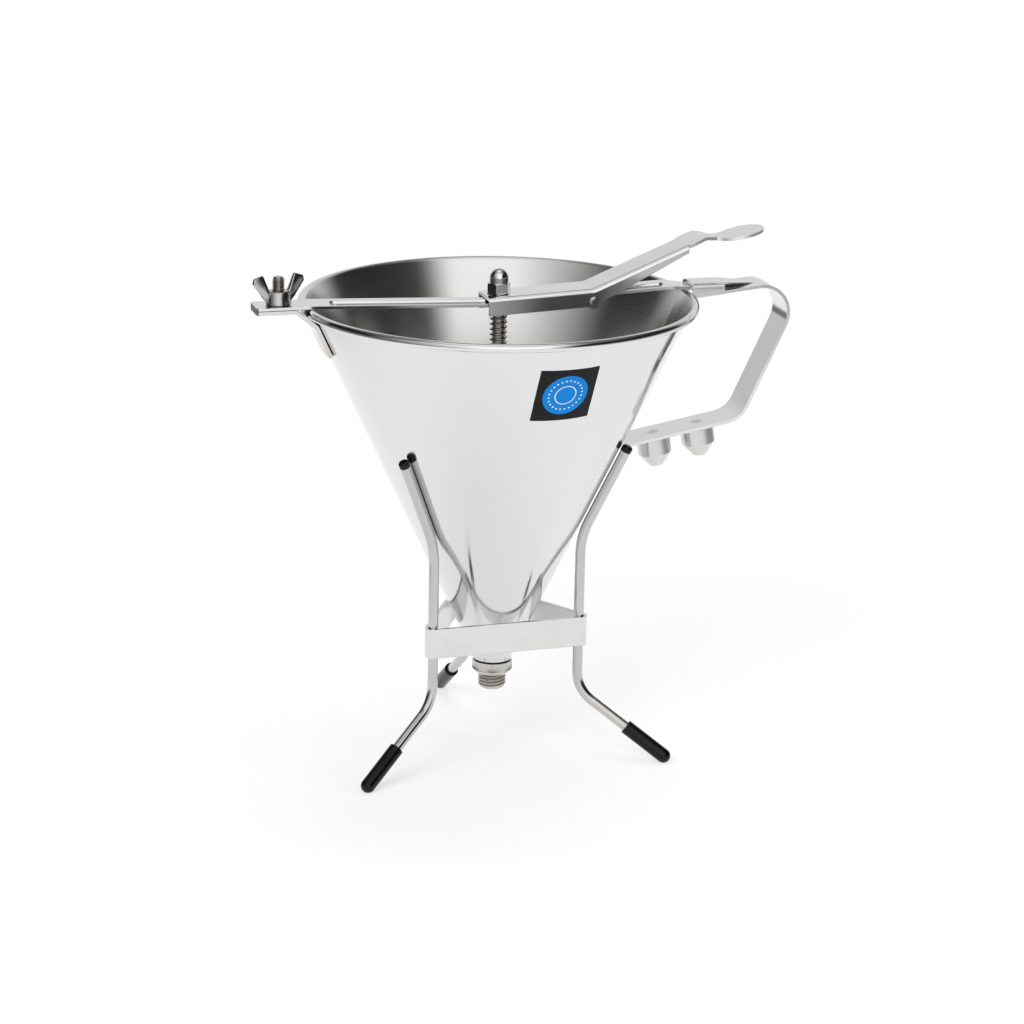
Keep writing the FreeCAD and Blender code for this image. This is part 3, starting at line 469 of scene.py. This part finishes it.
def thread_ridge(name, core, crest, pitch, low, turns, steps):
    foot, land = pitch * 0.44, pitch * 0.10
    wedge = section(name, [(core - foot_depth, low - foot), (crest, low - land),
                           (crest, low + land), (core - foot_depth, low + foot)])
    screw = wedge.modifiers.new("climb", "SCREW")
    screw.axis = "Z"
    screw.angle = 2 * math.pi
    screw.screw_offset = pitch * MM
    screw.iterations = turns
    screw.steps = screw.render_steps = steps
    bpy.ops.object.modifier_apply(modifier="climb")
    close_ends(wedge, seam_gap)
    print(name, "turns", turns, "pitch", pitch)
    return wedge


def join(first, *others):
    take(first)
    for other in others:
        other.select_set(True)
    bpy.ops.object.join()
    return first


# %% [markdown]
# ## The outlet
#
# The screwed outlet is one turned piece. Its top sits in the socket, and holds the valve's seat.
# Its collar is knurled for the fingers, and below it a coarse thread takes the nozzles. The knurl
# is straight: every second column of points is pulled in, which leaves V grooves.

# %% Outlet
knurls = 56
spout_core, spout_crest, spout_pitch, spout_low = 6.1, 6.9, 1.6, -6.9
outlet_line = [(4.5, -7.8), (5.6, -7.8), (spout_core, -7.3), (spout_core, -0.5), (6.4, 0.0),
               (7.8, 0.0), (9.9, 2.1), (10.0, 2.4), (10.0, 2.9), (10.0, 6.2), (9.7, 6.8),
               (6.9, 6.8), (6.9, 13.0), (6.4, 13.55), (4.5, 11.65), (4.5, -7.8)]
outlet = turned("screwed_outlet", outlet_line, 2 * knurls)


# %% [markdown]
# The grooves are cut by choosing points by their place, on the collar and in every odd column,
# and drawing them in towards the axis.

# %% Knurl
def cut_knurl(piece, low, high, radius, columns, keep):
    take(piece)
    bpy.ops.object.mode_set(mode="EDIT")
    bpy.ops.mesh.select_all(action="DESELECT")
    bpy.ops.object.mode_set(mode="OBJECT")
    step = 2 * math.pi / columns
    for point in piece.data.vertices:
        x, y, z = point.co
        column = round(math.atan2(y, x) / step)
        if low * MM < z < high * MM and math.hypot(x, y) > radius * MM and column % 2:
            point.select = True
    bpy.ops.object.mode_set(mode="EDIT")
    bpy.ops.transform.resize(value=(keep, keep, 1), center_override=(0, 0, 0))
    bpy.ops.object.mode_set(mode="OBJECT")


cut_knurl(outlet, low=2.6, high=6.6, radius=9.0, columns=2 * knurls, keep=0.957)
outlet.data.materials.append(steels["knurled steel"])
spout = thread_ridge("spout_thread", spout_core, spout_crest, spout_pitch, spout_low,
                     turns=4, steps=40)
spout.data.materials.append(steels["thread steel"])
join(outlet, spout)
settle(outlet)
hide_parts("outlet_adapter")
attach(outlet, "outlet")


# %% [markdown]
# ## The clamp stud
#
# The wing nut runs on a stud with a finer thread. It is the same two steps: a core turned on the
# lathe, and a ridge that climbs it. Both are made round the axis and then moved to their place.

# %% Stud
stud_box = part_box("clamp_stud")
stud_low, stud_high = stud_box[0][2] / MM, stud_box[1][2] / MM
stud_x = (stud_box[0][0] + stud_box[1][0]) / 2
stud_core, stud_crest, stud_pitch = 2.4, 3.0, 0.95
stud = turned("clamp_stud_thread", [(0, stud_low), (stud_core, stud_low),
                                    (stud_core, stud_high - 0.4), (2.1, stud_high),
                                    (0, stud_high)], 32)
stud.data.materials.append(steels["thread steel"])
stud_turns = int((stud_high - stud_low - 1.4) / stud_pitch)
ridge = thread_ridge("stud_ridge", stud_core, stud_crest, stud_pitch, stud_low + 0.6,
                     turns=stud_turns, steps=28)
ridge.data.materials.append(steels["thread steel"])
join(stud, ridge)
take(stud)
bpy.ops.transform.translate(value=(stud_x, 0, 0))
settle(stud)
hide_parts("clamp_stud")
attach(stud, "funnel")


# %% [markdown]
# ## The return spring
#
# The spring is wound from round wire, and its last turn at each end lies closed, so that it
# stands square. The wire's section is a small circle that the Screw modifier carries round and
# up, once for each end and once for the open turns between.

# %% Spring
spring_low, spring_high = (corner[2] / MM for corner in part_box("return_spring"))
wire, ring = 1.0, 3.8
open_turns = 12
end_rise = 1.04 * wire
open_rise = spring_high - spring_low - wire - 2 * end_rise


def coils(name, low, rise, turns):
    clear_selection()
    bpy.ops.mesh.primitive_circle_add(vertices=12, radius=wire / 2 * MM,
                                      location=(ring * MM, 0, low * MM),
                                      rotation=(math.pi / 2, 0, 0))
    piece = bpy.context.object
    piece.name = name
    piece.data.name = name
    bpy.ops.object.transform_apply(location=True, rotation=True, scale=True)
    climb = piece.modifiers.new("wind", "SCREW")
    climb.axis = "Z"
    climb.angle = 2 * math.pi
    climb.screw_offset = rise / turns * MM
    climb.iterations = turns
    climb.steps = climb.render_steps = 30
    bpy.ops.object.modifier_apply(modifier="wind")
    return piece


first_turn = coils("coil_spring", spring_low + wire / 2, end_rise, 1)
middle_turns = coils("middle_turns", spring_low + wire / 2 + end_rise, open_rise, open_turns)
last_turn = coils("last_turn", spring_high - wire / 2 - end_rise, end_rise, 1)
spring = join(first_turn, middle_turns, last_turn)
close_ends(spring, 3e-6)
spring.data.materials.clear()
spring.data.materials.append(steels["spring wire"])
settle(spring, 40)
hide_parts("return_spring")
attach(spring, "funnel")
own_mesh(spring)


# %% [markdown]
# ## The wing nut
#
# The nut is cast: a turned hub and two flat blades that flare outward and get thinner. A blade
# is drawn as a closed outline, filled, given its thickness by one extrusion, thinned at its tip
# and bevelled all round.

# %% Wing nut
nut_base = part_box("wing_nut")[0][2]
blade_outline = [(4.2, 1.0), (5.9, 1.0), (8.2, 3.6), (13.4, 10.7), (12.8, 13.1), (8.4, 14.5),
                 (7.9, 13.8), (5.4, 7.4), (4.2, 6.0)]
blade_thickness, tip_height, tip_thinning, blade_rounding = 2.7, 9.0, 0.66, 0.38
nut_turn = math.radians(14)


def blade(name):
    piece = section(name, blade_outline)
    bpy.ops.object.mode_set(mode="EDIT")
    bpy.ops.mesh.select_all(action="SELECT")
    bpy.ops.mesh.edge_face_add()
    bpy.ops.transform.translate(value=(0, -blade_thickness / 2 * MM, 0))
    bpy.ops.mesh.extrude_region_move(TRANSFORM_OT_translate={
        "value": (0, blade_thickness * MM, 0)})
    bpy.ops.mesh.select_all(action="DESELECT")
    bpy.ops.object.mode_set(mode="OBJECT")
    for point in piece.data.vertices:
        point.select = point.co.z > tip_height * MM
    bpy.ops.object.mode_set(mode="EDIT")
    bpy.ops.transform.resize(value=(1, tip_thinning, 1), center_override=(0, 0, 0))
    bpy.ops.mesh.select_all(action="SELECT")
    bpy.ops.mesh.normals_make_consistent(inside=False)
    bpy.ops.mesh.bevel(offset=blade_rounding * MM, segments=2)
    bpy.ops.object.mode_set(mode="OBJECT")
    return piece


# %% [markdown]
# The hub comes from the lathe. The second blade is made by the same steps as the first and is
# turned round by half a turn, and the three are joined.

# %% Hub and blades
hub = turned("cast_wing_nut", [(3.1, 0.0), (5.7, 0.0), (6.2, 0.5), (5.75, 4.2), (5.3, 5.9),
                               (4.6, 6.6), (3.5, 6.6), (3.1, 6.2), (3.1, 0.0)], 48)
first_blade, second_blade = blade("blade_one"), blade("blade_two")
take(second_blade)
bpy.ops.transform.rotate(value=math.pi, orient_axis="Z", center_override=(0, 0, 0))
bpy.ops.object.transform_apply(location=True, rotation=True, scale=True)
join(hub, first_blade, second_blade)
hub.data.materials.clear()
hub.data.materials.append(steels["cast steel"])
take(hub)
hub.rotation_euler = (0, 0, nut_turn)
hub.location = (stud_x, 0, nut_base)
settle(hub, 40)
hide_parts("wing_nut")
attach(hub, "wing_nut")


# %% [markdown]
# ## The label
#
# A printed square of film sticks to the cone. It is a fine grid, laid on the plane that touches
# the cone at its middle and wrapped on to the steel. The Shrinkwrap modifier does what a thumb
# does, and Solidify gives the film its thickness. The print follows the grid's own UV map: a dark
# ground, a blue disc and a ring of pale dots.

# %% Label print
dark_ground, disc_blue, pale_ink = (0.008, 0.008, 0.011), (0.0, 0.235, 0.70), (0.80, 0.86, 0.92)
ring_dots = 24


def label_print():
    material, tree, shader = new_material("printed film")
    uv = tree.nodes.new("ShaderNodeUVMap").outputs[0]
    split = tree.nodes.new("ShaderNodeSeparateXYZ")
    tree.links.new(uv, split.inputs[0])
    u = maths(tree, "SUBTRACT", split.outputs[0], 0.5)
    v = maths(tree, "SUBTRACT", split.outputs[1], 0.5)
    reach = maths(tree, "SQRT", maths(tree, "ADD", maths(tree, "MULTIPLY", u, u),
                                      maths(tree, "MULTIPLY", v, v)))
    disc = ramp(tree, reach, 0.375, 0.385, 1, 0)
    colour = blend(tree, disc, dark_ground, disc_blue)
    turn = maths(tree, "MULTIPLY", maths(tree, "ARCTAN2", v, u), ring_dots / (2 * math.pi))
    beat = maths(tree, "ABSOLUTE", maths(tree, "SUBTRACT", maths(tree, "FRACT", turn), 0.5))
    along = maths(tree, "MULTIPLY", beat, 0.073)
    across = maths(tree, "SUBTRACT", reach, 0.28)
    spot = maths(tree, "SQRT", maths(tree, "ADD", maths(tree, "MULTIPLY", along, along),
                                     maths(tree, "MULTIPLY", across, across)))
    colour = blend(tree, ramp(tree, spot, 0.013, 0.017, 1, 0), colour, pale_ink)
    band = maths(tree, "ABSOLUTE", maths(tree, "SUBTRACT", reach, 0.175))
    colour = blend(tree, ramp(tree, band, 0.006, 0.010, 1, 0), colour, pale_ink)
    speck = noise(tree, stretched(tree, (700, 700, 700)))
    tree.links.new(blend(tree, ramp(tree, speck, 0.4, 0.8, 0, 0.03), colour,
                         (0.3, 0.3, 0.3)), shader.inputs["Base Color"])
    shader.inputs["Specular IOR Level"].default_value = 0.12
    tree.links.new(ramp(tree, speck, 0.3, 0.7, 0.28, 0.40), shader.inputs["Roughness"])
    add_bump(tree, shader, speck, 0.04, 0.0002)
    return material


# %% [markdown]
# The plane that touches the cone follows from the cone's slope and the label's turn and height.
# Its three directions are sideways, up the wall and outwards.

# %% Label
label_side, label_turn, label_height = 0.0298, math.radians(-83.6), 0.1634
slope = math.radians(25.0)
foot_radius, foot_height = 10.17, 10.15
label_radius = (foot_radius + (label_height / MM - foot_height) * math.tan(slope)) * MM
side_way = Vector((-math.sin(label_turn), math.cos(label_turn), 0))
out_way = Vector((math.cos(label_turn) * math.cos(slope), math.sin(label_turn) * math.cos(slope),
                  -math.sin(slope)))
up_way = out_way.cross(side_way)
middle = Vector((math.cos(label_turn) * label_radius, math.sin(label_turn) * label_radius,
                 label_height))
clear_selection()
bpy.ops.mesh.primitive_grid_add(x_subdivisions=30, y_subdivisions=30, size=label_side)
label = bpy.context.object
label.name = "plain_label"
label.data.name = "plain_label"
label.matrix_world = Matrix.Translation(middle) @ Matrix(
    (side_way, up_way, out_way)).transposed().to_4x4()
bpy.ops.object.transform_apply(location=True, rotation=True, scale=True)
wrap = label.modifiers.new("stick", "SHRINKWRAP")
wrap.target = bpy.data.objects["funnel_cone"]
wrap.wrap_method = "NEAREST_SURFACEPOINT"
wrap.wrap_mode = "ABOVE_SURFACE"
wrap.offset = 0.06 * MM
bpy.ops.object.modifier_apply(modifier="stick")
film = label.modifiers.new("film", "SOLIDIFY")
film.thickness = 0.10 * MM
film.offset = 1
bpy.ops.object.modifier_apply(modifier="film")
label.data.materials.append(label_print())
settle(label)
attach(label, "funnel")


# %% [markdown]
# ## The table, the light and the camera
#
# The object stands on white paper. The cone looks down and mirrors the paper, so it is pale. The
# inside looks up and mirrors a dim room and one wide soft box, so it is darker.
#
# The paper is white because it is lit. To the camera and to the steel it shows mostly its own
# white, and near the object it keeps a share that the lamps light, so the shadow stays. To the
# steel it gets darker far out to the left and right, where a real sheet ends.

# %% Paper
view_turn = math.radians(-16.5)
clear_selection()
bpy.ops.mesh.primitive_plane_add(size=8, location=(0, 0, floor_z))
paper = bpy.context.object
paper.name = "paper"
bpy.ops.object.transform_apply(location=True, rotation=True, scale=True)


def paper_finish():
    material, tree, shader = new_material("white paper")
    shader.inputs["Base Color"].default_value = (0.80, 0.80, 0.80, 1)
    shader.inputs["Roughness"].default_value = 0.8
    shader.inputs["Specular IOR Level"].default_value = 0.1
    flat = tree.nodes.new("ShaderNodeVectorMath")
    flat.operation = "LENGTH"
    tree.links.new(place_on_object(tree), flat.inputs[0])
    far = ramp(tree, flat.outputs["Value"], 0.16, 0.50, 0, 1)
    own = tree.nodes.new("ShaderNodeEmission")
    rays = tree.nodes.new("ShaderNodeLightPath")
    split = tree.nodes.new("ShaderNodeSeparateXYZ")
    tree.links.new(place_on_object(tree), split.inputs[0])
    side = maths(tree, "ADD", maths(tree, "MULTIPLY", split.outputs[0], math.cos(view_turn)),
                 maths(tree, "MULTIPLY", split.outputs[1], math.sin(view_turn)))
    edges = maths(tree, "MAXIMUM", ramp(tree, side, -0.50, -0.30, 0.80, 0.0),
                  ramp(tree, side, 0.62, 0.82, 0.0, 0.65))
    dim = maths(tree, "MULTIPLY", edges, rays.outputs["Is Glossy Ray"])
    tree.links.new(maths(tree, "MULTIPLY", ramp(tree, far, 0, 1, 0.62, 1.0),
                         maths(tree, "SUBTRACT", 1.0, dim)), own.inputs["Strength"])
    lit = tree.nodes.new("ShaderNodeBsdfDiffuse")
    share = ramp(tree, far, 0, 1, 0.38, 0.0)
    tree.links.new(share, lit.inputs["Color"])
    both = tree.nodes.new("ShaderNodeAddShader")
    tree.links.new(own.outputs[0], both.inputs[0])
    tree.links.new(lit.outputs[0], both.inputs[1])
    seen = maths(tree, "MAXIMUM", rays.outputs["Is Camera Ray"], maths(
        tree, "MAXIMUM", rays.outputs["Is Glossy Ray"], rays.outputs["Is Transmission Ray"]))
    choose = tree.nodes.new("ShaderNodeMixShader")
    tree.links.new(seen, choose.inputs[0])
    tree.links.new(shader.outputs[0], choose.inputs[1])
    tree.links.new(both.outputs[0], choose.inputs[2])
    tree.links.new(choose.outputs[0], tree.nodes["Material Output"].inputs["Surface"])
    return material


paper.data.materials.append(paper_finish())


# %% [markdown]
# The world is the room that the steel mirrors, laid out along the way the camera looks. Side runs
# to the camera's right, front runs towards it and z goes up. There is a pale backdrop behind the
# object, a wide soft box on the camera's side, a bright patch straight above and dim grey high
# up on the walls. To the camera itself the world is plain white.

# %% Room
def room():
    world = bpy.data.worlds.new("studio")
    bpy.context.scene.world = world
    world.use_nodes = True
    tree = world.node_tree
    back = tree.nodes["Background"]
    coords = tree.nodes.new("ShaderNodeTexCoord")
    split = tree.nodes.new("ShaderNodeSeparateXYZ")
    tree.links.new(coords.outputs["Generated"], split.inputs[0])
    x, y, z = split.outputs

    def along(a, b):
        return maths(tree, "ADD", maths(tree, "MULTIPLY", x, a), maths(tree, "MULTIPLY", y, b))

    side = along(math.cos(view_turn), math.sin(view_turn))
    front = along(math.sin(view_turn), -math.cos(view_turn))
    low = maths(tree, "MULTIPLY", ramp(tree, front, -0.80, -0.50, 0.78, 0.02),
                ramp(tree, z, 0.62, 0.85, 1.0, 0.05))
    box = maths(tree, "MULTIPLY", ramp(tree, side, 0.45, 0.68, 1.25, 0.0),
                ramp(tree, side, -1.0, -0.15, 0.02, 1.0))
    box = maths(tree, "MULTIPLY", box, ramp(tree, front, 0.05, 0.35, 0.0, 1.0))
    box = maths(tree, "MULTIPLY", box, ramp(tree, z, 0.80, 0.95, 1.0, 0.0))
    top = ramp(tree, z, 0.90, 0.95, 0.0, 0.95)
    walls = ramp(tree, z, 0.60, 0.85, 0.0, 0.22)
    shine = maths(tree, "MAXIMUM", maths(tree, "MAXIMUM", low, box),
                  maths(tree, "MAXIMUM", walls, top))
    rays = tree.nodes.new("ShaderNodeLightPath")
    tree.links.new(maths(tree, "MAXIMUM", shine, rays.outputs["Is Camera Ray"]),
                   back.inputs["Strength"])
    back.inputs["Color"].default_value = (1, 1, 1, 1)


room()


# %% [markdown]
# Three wide lamps light the paper and the black caps. The steel doesn't see them: what it mirrors
# is the room, and a lamp that is nearer than the real soft box would mirror as a hard patch.

# %% Lamps
def soft_box(name, place, aim, size, watts):
    lamp = bpy.data.lights.new(name, "AREA")
    lamp.shape = "RECTANGLE"
    lamp.size, lamp.size_y = size
    lamp.energy = watts
    holder = bpy.data.objects.new(name, lamp)
    bpy.context.collection.objects.link(holder)
    holder.location = place
    way = Vector(aim) - Vector(place)
    holder.rotation_euler = way.to_track_quat("-Z", "Y").to_euler()
    holder.visible_glossy = False
    print(name, watts, "W")


soft_box("key box", (-1.0, -0.9, 1.3), (0, 0, 0.1), (0.9, 0.9), 14)
soft_box("top box", (0.3, 0.4, 1.6), (0, 0, 0.1), (1.0, 0.7), 10)
soft_box("fill box", (1.3, -0.7, 0.8), (0, 0, 0.1), (0.6, 0.9), 5.5)


# %% [markdown]
# The camera stands where the photographer stood. Its place was worked out from the ellipse of
# the rim, the outline of the cone and the feet, so the lens is long and looks slightly down.

# %% Camera
def portrait_camera():
    azimuth, height, tilt = view_turn, math.radians(17.2), math.radians(1.05)
    distance, focal_px, frame_px = 1.5345, 3096.5, 1024
    target = Vector((0, 0, floor_z + 0.11287))
    target_px = (494.5, 532.4)
    away = Vector((math.sin(azimuth) * math.cos(height), -math.cos(azimuth) * math.cos(height),
                   math.sin(height)))
    right = Vector((math.cos(azimuth), math.sin(azimuth), 0))
    up = right.cross(-away)
    right_t = right * math.cos(tilt) + up * math.sin(tilt)
    up_t = up * math.cos(tilt) - right * math.sin(tilt)
    data = bpy.data.cameras.new("portrait")
    data.sensor_width = 36
    data.lens = focal_px / frame_px * 36
    data.shift_x = (frame_px / 2 - target_px[0]) / frame_px
    data.shift_y = (target_px[1] - frame_px / 2) / frame_px
    data.clip_end = 50
    camera = bpy.data.objects.new("portrait", data)
    bpy.context.collection.objects.link(camera)
    turn = Matrix((right_t, up_t, away)).transposed().to_4x4()
    camera.matrix_world = Matrix.Translation(target + away * distance) @ turn
    bpy.context.scene.camera = camera
    print("lens", round(data.lens, 1), "mm")


portrait_camera()


# %% [markdown]
# The colours go to the screen as they are, with no film look on top.

# %% Finish
bpy.context.scene.view_settings.view_transform = "Standard"
